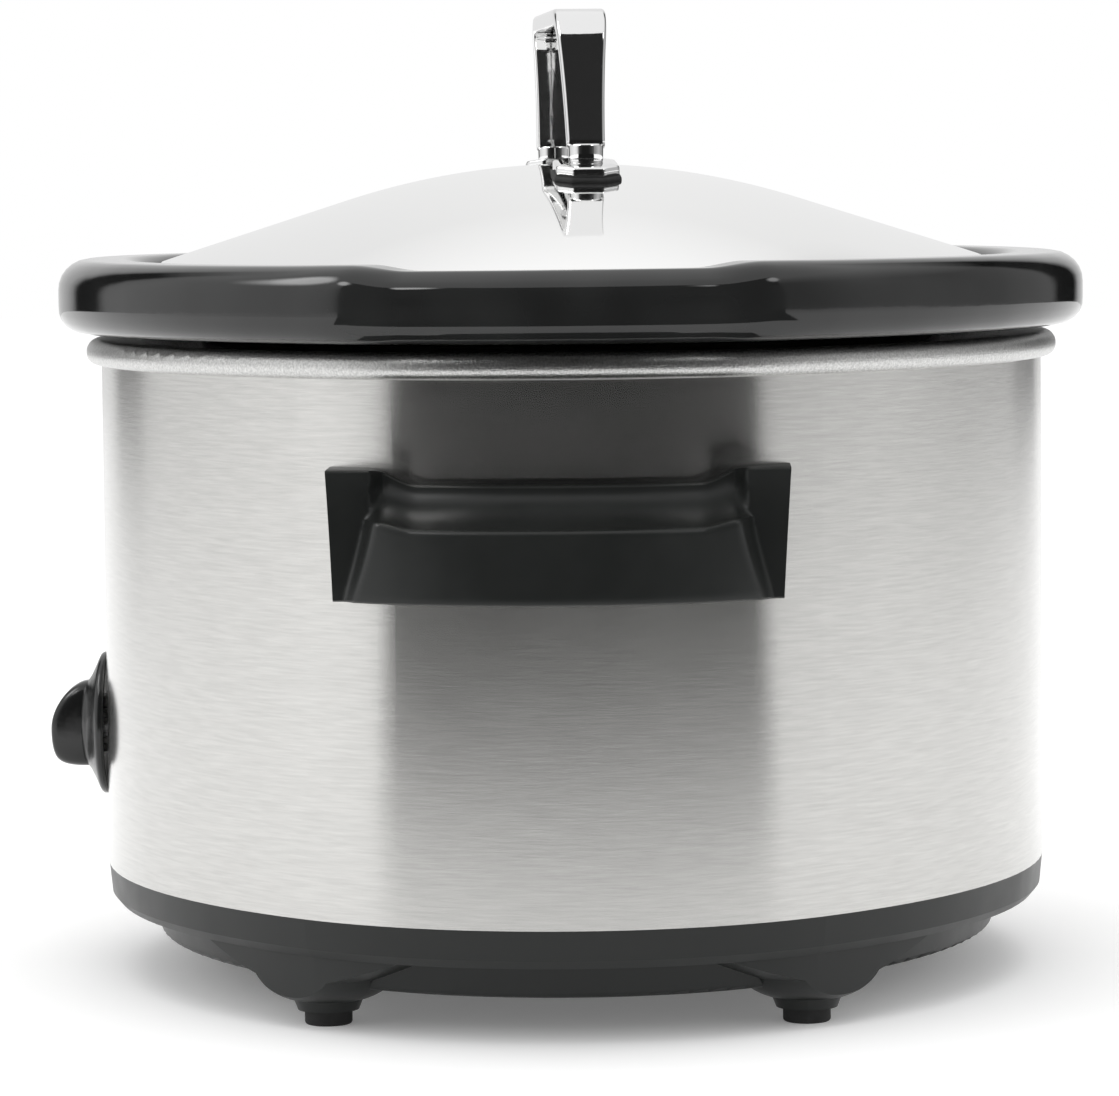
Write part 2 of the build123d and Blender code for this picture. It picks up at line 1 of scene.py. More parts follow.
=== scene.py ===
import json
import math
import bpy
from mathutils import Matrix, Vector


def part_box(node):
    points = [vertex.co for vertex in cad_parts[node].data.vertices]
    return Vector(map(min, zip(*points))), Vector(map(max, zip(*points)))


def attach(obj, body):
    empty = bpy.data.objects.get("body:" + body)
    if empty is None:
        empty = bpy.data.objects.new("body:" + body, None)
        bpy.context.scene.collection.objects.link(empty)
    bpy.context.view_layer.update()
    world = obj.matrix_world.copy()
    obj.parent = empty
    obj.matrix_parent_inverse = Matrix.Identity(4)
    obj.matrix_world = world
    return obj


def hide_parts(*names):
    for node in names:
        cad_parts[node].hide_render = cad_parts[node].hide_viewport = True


bl_info = {
    "name": "Oval slow cooker",
    "version": (1, 0, 0),
    "blender": (4, 5, 0),
    "location": "View3D > Sidebar > Slow cooker",
    "description": "Surfaces and finishes of an oval slow cooker, built over its packed frame",
    "category": "Add Mesh",
}

import bmesh
import bpy
import numpy as np
from mathutils import Matrix, Vector

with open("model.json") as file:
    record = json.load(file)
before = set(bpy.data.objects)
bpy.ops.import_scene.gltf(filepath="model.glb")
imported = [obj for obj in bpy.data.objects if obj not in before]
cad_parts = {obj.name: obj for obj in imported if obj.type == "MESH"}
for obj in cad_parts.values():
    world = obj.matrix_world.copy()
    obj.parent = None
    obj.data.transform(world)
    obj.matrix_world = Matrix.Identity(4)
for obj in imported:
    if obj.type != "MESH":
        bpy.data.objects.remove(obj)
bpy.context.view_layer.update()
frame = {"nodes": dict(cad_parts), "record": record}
NODES = frame["nodes"]
MM = 0.001


def low_high(node):
    """Lowest and highest corner of a node as arrays."""
    low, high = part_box(node)
    return np.array(low), np.array(high)


SHELL_HIGH = low_high("outer_shell")[1]
CROCK_LOW, CROCK_HIGH = low_high("crock")
LID_LOW, LID_HIGH = low_high("lid_dome")
STRAP_LOW, STRAP_HIGH = low_high("lid_handle")
GRIP_LOW, GRIP_HIGH = low_high("side_handle_right")
KNOB_LOW, KNOB_HIGH = low_high("control_knob")

# The housing's oval is four arcs, two on the ends and two on the long sides, that meet in tangents.
HALF_LENGTH = SHELL_HIGH[0]
HALF_WIDTH = SHELL_HIGH[1]
END_RADIUS = 93 * MM
END_SHIFT = HALF_LENGTH - END_RADIUS
SIDE_RADIUS = (HALF_WIDTH**2 + END_SHIFT**2 - END_RADIUS**2) / (2 * (HALF_WIDTH - END_RADIUS))
SIDE_SHIFT = SIDE_RADIUS - HALF_WIDTH
TANGENT_ANGLE = math.atan2(SIDE_SHIFT, END_SHIFT)


# ---- shapes ----


def oval(theta, offset):
    """Point of the housing's oval whose outward normal points along theta, moved out by offset.

    Each of the four arcs is its own centre plus (radius + offset) times (cos theta, sin theta).
    """
    cos, sin = np.cos(theta), np.sin(theta)
    on_end = np.abs(cos) >= math.cos(TANGENT_ANGLE)
    radius = np.where(on_end, END_RADIUS, SIDE_RADIUS) + offset
    centre_x = np.where(on_end, np.sign(cos) * END_SHIFT, 0.0)
    centre_y = np.where(on_end, 0.0, -np.sign(sin) * SIDE_SHIFT)
    return centre_x + radius * cos, centre_y + radius * sin


def smooth_step(value, low, high):
    """0 below low, 1 above high, and a cubic ease between them."""
    t = np.clip((value - low) / (high - low), 0.0, 1.0)
    return t * t * (3 - 2 * t)


def round_corners(points, radii, steps=6):
    """Closed polygon with each corner replaced by an arc of its radius, tangent to both sides.

    The arc's points are its centre plus the radius times the unit vector of each mix of the two
    directions from the centre to where the arc starts and ends.
    """
    points = np.asarray(points, float)
    rounded = []
    for i, radius in enumerate(radii):
        corner = points[i]
        before = points[i - 1] - corner
        after = points[(i + 1) % len(points)] - corner
        room = 0.49 * min(np.linalg.norm(before), np.linalg.norm(after))
        before = before / np.linalg.norm(before)
        after = after / np.linalg.norm(after)
        half = 0.5 * math.acos(float(np.clip(before @ after, -1, 1)))
        if radius <= 0 or half > math.radians(89):
            rounded.append(corner[None])
            continue
        reach = min(radius / math.tan(half), room)
        radius = reach * math.tan(half)
        middle = before + after
        centre = corner + middle / np.linalg.norm(middle) * radius / math.sin(half)
        start = corner + before * reach - centre
        end = corner + after * reach - centre
        t = np.linspace(0, 1, steps)[:, None]
        mixed = start * (1 - t) + end * t
        rounded.append(centre + mixed / np.linalg.norm(mixed, axis=1, keepdims=True) * radius)
    return np.vstack(rounded)


def even_outline(points, count):
    """Closed outline resampled so that its points are evenly spaced along it."""
    closed = np.vstack([points, points[:1]])
    lengths = np.concatenate([[0], np.cumsum(np.linalg.norm(np.diff(closed, axis=0), axis=1))])
    at = np.linspace(0, lengths[-1], count, endpoint=False)
    return np.column_stack([np.interp(at, lengths, closed[:, k]) for k in range(closed.shape[1])])


def grid_faces(rows, columns, close_rows, close_columns):
    """Quads of a grid of points, closed along either direction if asked."""
    i = np.arange(rows if close_rows else rows - 1)
    j = np.arange(columns if close_columns else columns - 1)
    i, j = np.meshgrid(i, j, indexing="ij")
    i2, j2 = (i + 1) % rows, (j + 1) % columns
    corners = [i * columns + j, i2 * columns + j, i2 * columns + j2, i * columns + j2]
    return np.stack(corners, axis=-1).reshape(-1, 4)


def make_piece(name, parts, body, slot, replaced, bevel=0.0):
    """One object from several (points, quads, triangles) parts, riding on a body, for its CAD nodes."""
    points, faces, start = [], [], 0
    for part_points, quads, triangles in parts:
        points.append(part_points)
        faces += (quads + start).tolist() + (triangles + start).tolist()
        start += len(part_points)
    mesh = bpy.data.meshes.new(name)
    mesh.from_pydata(np.vstack(points).tolist(), [], faces)
    mesh.validate()
    mesh.shade_smooth()
    piece = bpy.data.objects.new(name, mesh)
    bpy.context.scene.collection.objects.link(piece)
    face_outward(piece)
    mesh.materials.append(finish_of(slot))
    if bevel:
        edge = piece.modifiers.new("soft_edges", "BEVEL")
        edge.width = bevel
        edge.segments = 2
        edge.limit_method = "ANGLE"
        edge.angle_limit = math.radians(40)
        edge.harden_normals = True
    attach(piece, body)
    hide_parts(*replaced)
    return piece


def face_outward(piece):
    """Merge doubled points and turn the faces of a closed mesh outward."""
    work = bmesh.new()
    work.from_mesh(piece.data)
    bmesh.ops.remove_doubles(work, verts=work.verts, dist=1e-6)
    bmesh.ops.recalc_face_normals(work, faces=work.faces)
    work.to_mesh(piece.data)
    work.free()


def closed_grid(points, close_rows=True):
    """Points of shape (rows, columns, 3) as one closed part: its points, quads and triangles.

    Columns always close on themselves. Rows close too, or else the first and the last row are each
    closed by a fan of triangles to their own middle.
    """
    rows, columns, _ = points.shape
    flat = points.reshape(-1, 3)
    quads = grid_faces(rows, columns, close_rows, True)
    if close_rows:
        return flat, quads, np.empty((0, 3), int)
    here = np.arange(columns)
    after = (here + 1) % columns
    begin = (rows - 1) * columns
    first = np.column_stack([np.full(columns, rows * columns), after, here])
    last = np.column_stack([np.full(columns, rows * columns + 1), begin + here, begin + after])
    middles = np.vstack([points[0].mean(axis=0), points[-1].mean(axis=0)])
    return np.vstack([flat, middles]), quads, np.vstack([first, last])


def carried_round(outline, count, lift, reach):
    """A section of (offset, height) points carried round the oval, so point = oval(theta, offset), height.

    lift and reach are functions of the plan point (x, y), the section's height share and its offset.
    They add to the height and to the offset.
    """
    theta = np.linspace(0, 2 * math.pi, count, endpoint=False)[:, None]
    offset = np.broadcast_to(outline[None, :, 0], (count, len(outline)))
    height = np.broadcast_to(outline[None, :, 1], (count, len(outline)))
    share = (height - height.min()) / (height.max() - height.min())
    x, y = oval(theta, 0.0 * offset)
    offset = offset + reach(x, y, share, offset)
    height = height + lift(x, y, share, offset)
    x, y = oval(theta, offset)
    return closed_grid(np.stack([x, y, height], axis=-1))


def turned(points, angle):
    """Points turned about the vertical: (x cos - y sin, x sin + y cos, z)."""
    cos, sin = math.cos(angle), math.sin(angle)
    x, y, z = points[..., 0], points[..., 1], points[..., 2]
    return np.stack([x * cos - y * sin, x * sin + y * cos, z], axis=-1)


# ---- finishes ----


class Finish:
    """A node material built up step by step from Object coordinates."""

    def __init__(self, name, colour, roughness, metallic=0.0):
        self.material = bpy.data.materials.new(name)
        self.material.use_nodes = True
        self.tree = self.material.node_tree
        self.shader = self.tree.nodes["Principled BSDF"]
        self.shader.inputs["Base Color"].default_value = (*colour, 1)
        self.shader.inputs["Roughness"].default_value = roughness
        self.shader.inputs["Metallic"].default_value = metallic
        self.colour = colour
        self.bump = None

    def node(self, kind, **values):
        """A new node with the given sockets or settings."""
        made = self.tree.nodes.new(kind)
        for key, value in values.items():
            if key in made.inputs:
                made.inputs[key].default_value = value
            else:
                setattr(made, key, value)
        return made

    def link(self, source, output, target, socket):
        self.tree.links.new(source.outputs[output], target.inputs[socket])

    def noise(self, scale, detail=4.0, stretch=(1, 1, 1), roughness=0.55):
        """Noise of the given scale per metre, stretched along the axes."""
        coords = self.node("ShaderNodeTexCoord")
        mapping = self.node("ShaderNodeMapping")
        mapping.inputs["Scale"].default_value = stretch
        made = self.node("ShaderNodeTexNoise", Scale=scale, Detail=detail, Roughness=roughness)
        self.link(coords, "Object", mapping, "Vector")
        self.link(mapping, "Vector", made, "Vector")
        return made

    def range_of(self, source, low, high, from_low=0.3, from_high=0.7, output="Fac"):
        """Map a pattern's values onto low to high."""
        made = self.node("ShaderNodeMapRange")
        made.inputs["From Min"].default_value = from_low
        made.inputs["From Max"].default_value = from_high
        made.inputs["To Min"].default_value = low
        made.inputs["To Max"].default_value = high
        self.link(source, output, made, "Value")
        return made

    def vary_roughness(self, source, low, high):
        """Let a pattern move the roughness between low and high."""
        self.link(self.range_of(source, low, high), "Result", self.shader, "Roughness")
        return self

    def vary_colour(self, source, dark, light):
        """Mix two strengths of the base colour by a pattern."""
        mix = self.node("ShaderNodeMix", data_type="RGBA")
        mix.inputs["A"].default_value = (*[c * dark for c in self.colour], 1)
        mix.inputs["B"].default_value = (*[min(1, c * light) for c in self.colour], 1)
        share = self.range_of(source, 0.0, 1.0)
        self.link(share, "Result", mix, "Factor")
        self.tree.links.new(mix.outputs[2], self.shader.inputs["Base Color"])
        return self

    def roughen(self, source, strength, distance, output="Fac"):
        """Add a bump on top of any bump already there."""
        bump = self.node("ShaderNodeBump", Strength=strength, Distance=distance)
        self.link(source, output, bump, "Height")
        if self.bump is not None:
            self.link(self.bump, "Normal", bump, "Normal")
        self.bump = bump
        self.link(bump, "Normal", self.shader, "Normal")
        return self

    def set(self, **sockets):
        """Set the shader's own sockets."""
        for key, value in sockets.items():
            self.shader.inputs[key.replace("_", " ")].default_value = value
        return self


def brushed_steel(name, colour):
    """Steel brushed along the band: fine level streaks that blur reflections up and down only."""
    finish = Finish(name, colour, 0.2, 1.0)
    streaks = finish.noise(1.0, 3.0, (90, 90, 1700), 0.65)
    fine = finish.noise(1.0, 2.0, (240, 240, 6500), 0.6)
    clouds = finish.noise(14.0, 2.0)
    finish.vary_colour(streaks, 0.90, 1.05)
    finish.vary_roughness(clouds, 0.19, 0.215)
    finish.roughen(streaks, 0.05, 0.0001)
    finish.roughen(fine, 0.08, 0.00005)
    finish.set(Anisotropic=0.78)
    upright = finish.node("ShaderNodeCombineXYZ", X=0.0, Y=0.0, Z=1.0)
    finish.link(upright, "Vector", finish.shader, "Tangent")
    return finish.material


def satin_bead(name, colour):
    """Rolled edge with the fine sparkle of bead blasting."""
    finish = Finish(name, colour, 0.33, 1.0)
    grains = finish.noise(1900.0, 2.0)
    finish.vary_colour(grains, 0.72, 1.12)
    finish.roughen(grains, 0.55, 0.0002)
    return finish.material


def black_glaze(name, colour):
    """Thick glossy glaze: gentle swells, a few pinholes and a slight change of depth."""
    finish = Finish(name, colour, 0.07)
    swells = finish.noise(38.0, 1.5)
    small = finish.noise(420.0, 2.0)
    finish.vary_colour(swells, 0.75, 1.5)
    finish.roughen(swells, 0.18, 0.0012)
    finish.roughen(small, 0.03, 0.0002)
    finish.set(Specular_IOR_Level=0.5)
    return finish.material


def mirror_steel(name, colour):
    """Mirror polished sheet with a very faint ripple."""
    finish = Finish(name, colour, 0.045, 1.0)
    ripple = finish.noise(22.0, 1.0)
    hairlines = finish.noise(1.0, 2.0, (1500, 90, 90))
    finish.vary_roughness(hairlines, 0.03, 0.06)
    finish.roughen(ripple, 0.02, 0.0008)
    return finish.material


def bright_chrome(name, colour):
    """Plated casting: bright, with slight unevenness under the plating."""
    finish = Finish(name, colour, 0.05, 1.0)
    swells = finish.noise(160.0, 2.0)
    finish.vary_roughness(finish.noise(900.0, 3.0), 0.03, 0.09)
    finish.roughen(swells, 0.06, 0.0004)
    return finish.material


def satin_plastic(name, colour):
    """Moulded black plastic with a fine satin grain and slight sheen changes."""
    finish = Finish(name, colour, 0.36)
    grain = finish.noise(2600.0, 3.0)
    clouds = finish.noise(45.0, 3.0)
    finish.vary_colour(clouds, 0.88, 1.14)
    finish.vary_roughness(clouds, 0.31, 0.42)
    finish.roughen(grain, 0.10, 0.00012)
    finish.set(Specular_IOR_Level=0.34)
    return finish.material


def gloss_plastic(name, colour):
    """Glossy moulding with faint polish marks."""
    finish = Finish(name, colour, 0.17)
    clouds = finish.noise(120.0, 3.0)
    finish.vary_colour(clouds, 0.85, 1.2)
    finish.vary_roughness(finish.noise(700.0, 3.0), 0.13, 0.24)
    finish.roughen(clouds, 0.04, 0.0003)
    return finish.material


def matt_rubber(name, colour):
    """Rubber: dull, fine grained, dusty in places."""
    finish = Finish(name, colour, 0.75)
    dust = finish.noise(300.0, 4.0)
    finish.vary_colour(dust, 0.8, 1.6)
    finish.roughen(finish.noise(3200.0, 2.0), 0.2, 0.0001)
    return finish.material


def plain_metal(name, colour, roughness, grain):
    """Sheet or turned metal inside the housing, with a drawn grain."""
    finish = Finish(name, colour, roughness, 1.0)
    marks = finish.noise(grain, 4.0, (1, 1, 6))
    finish.vary_colour(marks, 0.82, 1.1)
    finish.vary_roughness(marks, roughness * 0.8, roughness * 1.25)
    finish.roughen(marks, 0.05, 0.0002)
    return finish.material


def white_ceramic(name, colour):
    """Unglazed electrical ceramic."""
    finish = Finish(name, colour, 0.5)
    specks = finish.noise(1200.0, 4.0)
    finish.vary_colour(specks, 0.9, 1.05)
    finish.roughen(specks, 0.1, 0.0001)
    return finish.material


MAKERS = {
    "black_plastic": satin_plastic,
    "knob_plastic": gloss_plastic,
    "rubber": matt_rubber,
    "brushed_steel": brushed_steel,
    "bead_metal": satin_bead,
    "fuse_ceramic": white_ceramic,
    "terminal_plastic": gloss_plastic,
    "switch_plastic": satin_plastic,
    "black_glaze": black_glaze,
    "mirror_steel": mirror_steel,
    "chrome": bright_chrome,
}
# Roughness and grain of the plain metals inside the housing.
PLAIN_METALS = {
    "well_metal": (0.3, 60.0),
    "heater_foil": (0.22, 140.0),
    "spring_steel": (0.4, 200.0),
    "fixing_steel": (0.28, 500.0),
}
SLOT_OF_NODE = {s["node"]: s["material_slot"] for s in frame["record"]["subparts"]}
COLOUR_OF_SLOT = {m["slot"]: tuple(m["base_color"][:3]) for m in frame["record"]["materials"]}


def finish_of(slot):
    """The finish of a material slot, made once. Colours a user may change come from the panel."""
    made = bpy.data.materials.get(slot + "_finish")
    if made is not None:
        return made
    finishes = bpy.context.scene.cooker_finishes
    colour = tuple(getattr(finishes, slot)) if hasattr(finishes, slot) else COLOUR_OF_SLOT[slot]
    if slot in PLAIN_METALS:
        return plain_metal(slot + "_finish", colour, *PLAIN_METALS[slot])
    return MAKERS[slot](slot + "_finish", colour)


def finish_node(name):
    """Give a carried-over node the finish of its slot."""
    mesh = NODES[name].data
    mesh.materials.clear()
    mesh.materials.append(finish_of(SLOT_OF_NODE[name]))


# ---- what reflections see ----

SCREEN_RADIUS, SCREEN_TOP = 3.0, 3.4
FADE_START, FADE_END = 1.9, 3.3
MAT_START, MAT_END = -49, 56
MAT_INNER, MAT_LIFT = 0.56, 2 * MM
CANOPY_RADIUS, CANOPY_START, CANOPY_END = 2.8, 30, 56
DISC_DISTANCE = 1.9
DISCS = (
    ("left_disc", -90, 48, 0.62, 6.0),
    ("near_left_disc", -52, 50, 0.34, 6.5),
    ("right_disc", 52, 48, 0.34, 4.0),
)
# Brightness of the round screen by compass direction in degrees, from +X toward +Y.
SCREEN_TONES = (
    (-180, 0.86), (-152, 0.76), (-148, 0.52), (-144.5, 0.0), (-133, 0.0), (-129, 0.55), (-122, 0.72),
    (-100, 0.90), (-76, 1.02), (-64, 0.92), (-57, 0.75), (-50, 0.42), (-46, 0.11), (-38, 0.035), (-18, 0.012),
    (20, 0.015), (40, 0.045), (52, 0.09), (56, 0.14), (58, 0.27), (69, 0.325), (80, 0.43), (92, 0.54),
    (100, 0.52), (114, 0.39), (134, 0.32), (139, 0.30), (143, 0.0), (155, 0.0), (160, 0.60), (168, 0.82),
    (180, 0.86),
)


def direction(azimuth, elevation):
    """Unit vector from angles in degrees, azimuth from +X toward +Y."""
    turn, rise = math.radians(azimuth), math.radians(elevation)
    return np.array([math.cos(turn) * math.cos(rise), math.sin(turn) * math.cos(rise), math.sin(rise)])


def disc_points(centre, radius):
    """Rings of a flat disc facing the origin: centre plus r (cos t, sin t) in its own plane."""
    facing = -centre / np.linalg.norm(centre)
    across = np.cross(facing, [0, 0, 1])
    across /= np.linalg.norm(across)
    upward = np.cross(across, facing)
    turn = np.linspace(0, 2 * math.pi, 49)[None, :, None]
    reach = np.linspace(0.01, 1, 8)[:, None, None] * radius
    return centre + reach * (np.cos(turn) * across + np.sin(turn) * upward)


def emitting(name, strength):
    """A finish that only glows, in white until a pattern is linked to its emission."""
    finish = Finish(name, (0, 0, 0), 1.0)
    finish.set(Specular_IOR_Level=0.0, Emission_Strength=strength)
    finish.shader.inputs["Emission Color"].default_value = (1, 1, 1, 1)
    return finish


def flat_paint(name, shade):
    """The same grey glow all over."""
    finish = emitting(name, 1.0)
    finish.shader.inputs["Emission Color"].default_value = (shade, shade, shade, 1)
    return finish.material


def screen_paint():
    """Brightness by compass direction, fading to white toward the top."""
    finish = emitting("round_screen_paint", 1.0)
    coords = finish.node("ShaderNodeTexCoord")
    split = finish.node("ShaderNodeSeparateXYZ")
    finish.link(coords, "Object", split, "Vector")
    angle = finish.node("ShaderNodeMath", operation="ARCTAN2")
    finish.tree.links.new(split.outputs["Y"], angle.inputs[0])
    finish.tree.links.new(split.outputs["X"], angle.inputs[1])
    share = finish.range_of(angle, 0.0, 1.0, -math.pi, math.pi, "Value")
    ramp = finish.node("ShaderNodeValToRGB")
    stops = ramp.color_ramp.elements
    while len(stops) > 1:
        stops.remove(stops[-1])
    for k, (azimuth, tone) in enumerate(SCREEN_TONES):
        stop = stops[0] if k == 0 else stops.new((azimuth + 180) / 360)
        stop.position = (azimuth + 180) / 360
        stop.color = (tone, tone, tone, 1)
    finish.link(share, "Result", ramp, "Fac")
    fade = finish.range_of(split, 0.0, 1.0, FADE_START, FADE_END, "Z")
    mix = finish.node("ShaderNodeMix", data_type="RGBA")
    mix.inputs["B"].default_value = (1, 1, 1, 1)
    finish.link(fade, "Result", mix, "Factor")
    finish.tree.links.new(ramp.outputs["Color"], mix.inputs[6])
    finish.tree.links.new(mix.outputs[2], finish.shader.inputs["Emission Color"])
    return finish.material


def disc_paint(name, centre, radius, strength):
    """Glow that eases from the middle of the disc to its edge."""
    finish = emitting(name, strength)
    coords = finish.node("ShaderNodeTexCoord")
    gap = finish.node("ShaderNodeVectorMath", operation="DISTANCE")
    finish.tree.links.new(coords.outputs["Object"], gap.inputs[0])
    gap.inputs[1].default_value = centre.tolist()
    share = finish.range_of(gap, 1.0, 0.0, 0.35 * radius, radius, "Value")
    share.interpolation_type = "SMOOTHSTEP"
    finish.link(share, "Result", finish.shader, "Emission Color")
    clear = finish.node("ShaderNodeBsdfTransparent")
    mix = finish.node("ShaderNodeMixShader")
    output = finish.tree.nodes["Material Output"]
    finish.link(share, "Result", mix, "Fac")
    finish.tree.links.new(clear.outputs[0], mix.inputs[1])
    finish.tree.links.new(finish.shader.outputs[0], mix.inputs[2])
    finish.tree.links.new(mix.outputs[0], output.inputs["Surface"])
    return finish.material


# ---- settings ----


def length(name, description, default):
    """A length in metres for the panel."""
    return bpy.props.FloatProperty(
        name=name, description=description, default=default, unit="LENGTH", precision=5
    )


def angle(name, description, degrees):
    """An angle for the panel, given in degrees and kept in radians."""
    return bpy.props.FloatProperty(
        name=name, description=description, default=math.radians(degrees), subtype="ANGLE"
    )


def colour(name, description, default):
    """A colour for the panel."""
    return bpy.props.FloatVectorProperty(
        name=name, description=description, default=default, subtype="COLOR", size=3, min=0, max=1
    )


class CookerSizes(bpy.types.PropertyGroup):
    """Sizes of the pieces that are not read from the frame."""

    rim_dip: length("Rim dip", "How much lower the rim is at each end", 1.3 * MM)
    rim_dip_half: length("Rim dip half width", "Half the width of the low stretch at each end", 33.0 * MM)
    rim_flat: length("Rim flat", "How far the rim's face is set back in the low stretch", 2.2 * MM)
    lid_inset: length("Lid inset", "Lid edge inside the housing's oval", 14.6 * MM)
    lid_crown: length("Lid crown", "Radius of the lid's crown across the oval", 185.0 * MM)
    lid_long: length("Lid long radius", "Radius of the lid's long arc along the oval", 353.0 * MM)
    lid_shoulder: angle("Lid shoulder", "Slope of the lid outside its crown", 17.6)
    lid_turn: angle("Lid turn", "How far the lid is turned in its seat", 6.0)
    leg_spacing: length("Leg spacing", "Between the legs of the lid handle at the lid", 96.0 * MM)
    arch_spacing: length("Arch spacing", "Between the legs of the lid handle at the top", 70.0 * MM)
    strap_thickness: length("Strap thickness", "Thickness of the lid handle's strap", 4.0 * MM)
    strap_top: length("Strap top width", "Width of the strap along its top", 12.9 * MM)
    strap_foot: length("Strap foot width", "Width of the strap at its feet", 9.2 * MM)


class CookerFinishes(bpy.types.PropertyGroup):
    """Colours a user may change."""

    black_plastic: colour("Plastic", "Base and side handles", (0.0112, 0.0124, 0.0118))
    knob_plastic: colour("Knob", "Control knob", (0.0098, 0.0102, 0.0102))
    rubber: colour("Rubber", "Foot pads and lid washers", (0.012, 0.012, 0.012))
    brushed_steel: colour("Shell", "Brushed steel band", (0.59, 0.585, 0.569))
    bead_metal: colour("Bead", "Rolled bead", (0.62, 0.62, 0.61))
    black_glaze: colour("Glaze", "Stoneware crock", (0.0115, 0.0118, 0.0117))
    mirror_steel: colour("Lid", "Polished lid", (0.965, 0.965, 0.96))
    chrome: colour("Chrome", "Lid handle", (0.82, 0.82, 0.82))


# ---- pieces ----


class COOKER_OT_housing(bpy.types.Operator):
    """Give every carried-over piece its finish: shell, bead, base and all that is inside"""

    bl_idname = "cooker.housing"
    bl_label = "Housing"

    def execute(self, context):
        for name in NODES:
            finish_node(name)
        return {"FINISHED"}


# Crock section: offsets from the housing's oval, minus is inward, and depths.
RIM_DEPTH, SEAT_DEPTH, FLOOR_THICKNESS = 18 * MM, 7 * MM, 8 * MM
SEAT_OUTER, WALL_TOP, SEAT_INNER, WALL_FOOT, FLOOR_INSET = -9 * MM, -25 * MM, -31 * MM, -37 * MM, -76 * MM


class COOKER_OT_crock(bpy.types.Operator):
    """Build the stoneware crock with its heavy, slightly uneven rim"""

    bl_idname = "cooker.crock"
    bl_label = "Crock"

    def execute(self, context):
        sizes = context.scene.cooker_sizes
        low, top = CROCK_LOW[2], CROCK_HIGH[2]
        out = CROCK_HIGH[0] - HALF_LENGTH
        section = even_outline(self.section(out, low, top), 224)
        half = sizes.rim_dip_half

        def low_stretch(x, y):
            """1 across each end within half the dip's width, easing to 0 beside it."""
            return (1 - smooth_step(np.abs(y), half, half + 12 * MM)) * (np.abs(x) > END_SHIFT)

        def away_from_swelling(x, y):
            """0 at the bell-shaped swelling just outside each end of the low stretch, 1 far from it."""
            beside = (np.abs(y) - half - 15 * MM) / (9 * MM)
            return 1 - np.exp(-beside * beside) * (np.abs(x) > END_SHIFT * 0.6)

        def lift(x, y, share, offset):
            """The rim's top sinks in the low stretch and runs in three slow waves round the oval."""
            on_rim = smooth_step(share, 0.93, 1.0) * smooth_step(offset, -12 * MM, -6 * MM)
            wave = 0.15 * MM * np.sin(3 * np.arctan2(y, x) + 0.8)
            dip = sizes.rim_dip * low_stretch(x, y)
            return on_rim * (wave - dip - 0.15 * MM * away_from_swelling(x, y))

        def reach(x, y, share, offset):
            """The rim's face is set back in the low stretch, where a faint ridge runs along it."""
            on_face = smooth_step(offset, 1 * MM, 8 * MM)
            ridge = 0.35 * MM * np.cos((share - 0.9) * 90)
            flat = low_stretch(x, y) * (ridge - sizes.rim_flat)
            return on_face * (flat - 0.5 * MM * away_from_swelling(x, y))

        ring = carried_round(section, 384, lift, reach)
        disc = floor_disc(FLOOR_INSET + 1 * MM, low, low + FLOOR_THICKNESS)
        make_piece("glazed_crock", [ring, disc], "crock", "black_glaze", ["crock"])
        return {"FINISHED"}

    def section(self, out, low, top):
        """Rounded outline of the crock's wall: rim face, top, lid seat, inside, floor, underside, outside."""
        rim_low, seat, floor = top - RIM_DEPTH, top - SEAT_DEPTH, low + FLOOR_THICKNESS
        corners = [
            ((out, rim_low), 5.6), ((out, top), 7.4), ((SEAT_OUTER, top), 4), ((SEAT_OUTER, seat), 1.5),
            ((SEAT_INNER, seat - 1 * MM), 4), ((WALL_FOOT, floor), 10), ((FLOOR_INSET, floor), 0),
            ((FLOOR_INSET, low), 0), ((SEAT_INNER, low), 12), ((WALL_TOP, rim_low), 3),
        ]
        radii = [radius * MM for _, radius in corners]
        return round_corners([place for place, _ in corners], radii, 9)


def floor_disc(offset, low, high, rings=14, count=384):
    """Flat plate of the oval plan: each point is share * oval(theta, offset), on two levels."""
    theta = np.linspace(0, 2 * math.pi, count, endpoint=False)[None, :]
    share = np.concatenate([np.linspace(0.02, 1, rings), np.linspace(1, 0.02, rings)])[:, None]
    height = np.concatenate([np.full(rings, low), np.full(rings, high)])[:, None]
    x, y = oval(theta, offset)
    points = np.stack([x * share, y * share, height + 0 * x], axis=-1)
    return closed_grid(points, close_rows=False)


def lid_height(x, y, sizes):
    """Height of the lid over a point of its own plan.

    Across the oval the crown's arc runs on as its tangent; the whole of it is bent along the oval in
    one long arc: top - long + sqrt((long - drop(y))^2 - x^2).
    """
    shoulder = sizes.lid_crown * math.sin(sizes.lid_shoulder)
    side = np.abs(y)
    on_arc = np.minimum(side, shoulder)
    drop = sizes.lid_crown - np.sqrt(sizes.lid_crown**2 - on_arc**2)
    drop = drop + (side - on_arc) * math.tan(sizes.lid_shoulder)
    return LID_HIGH[2] - sizes.lid_long + np.sqrt((sizes.lid_long - drop) ** 2 - x**2)


LID_SHEET = 0.9 * MM


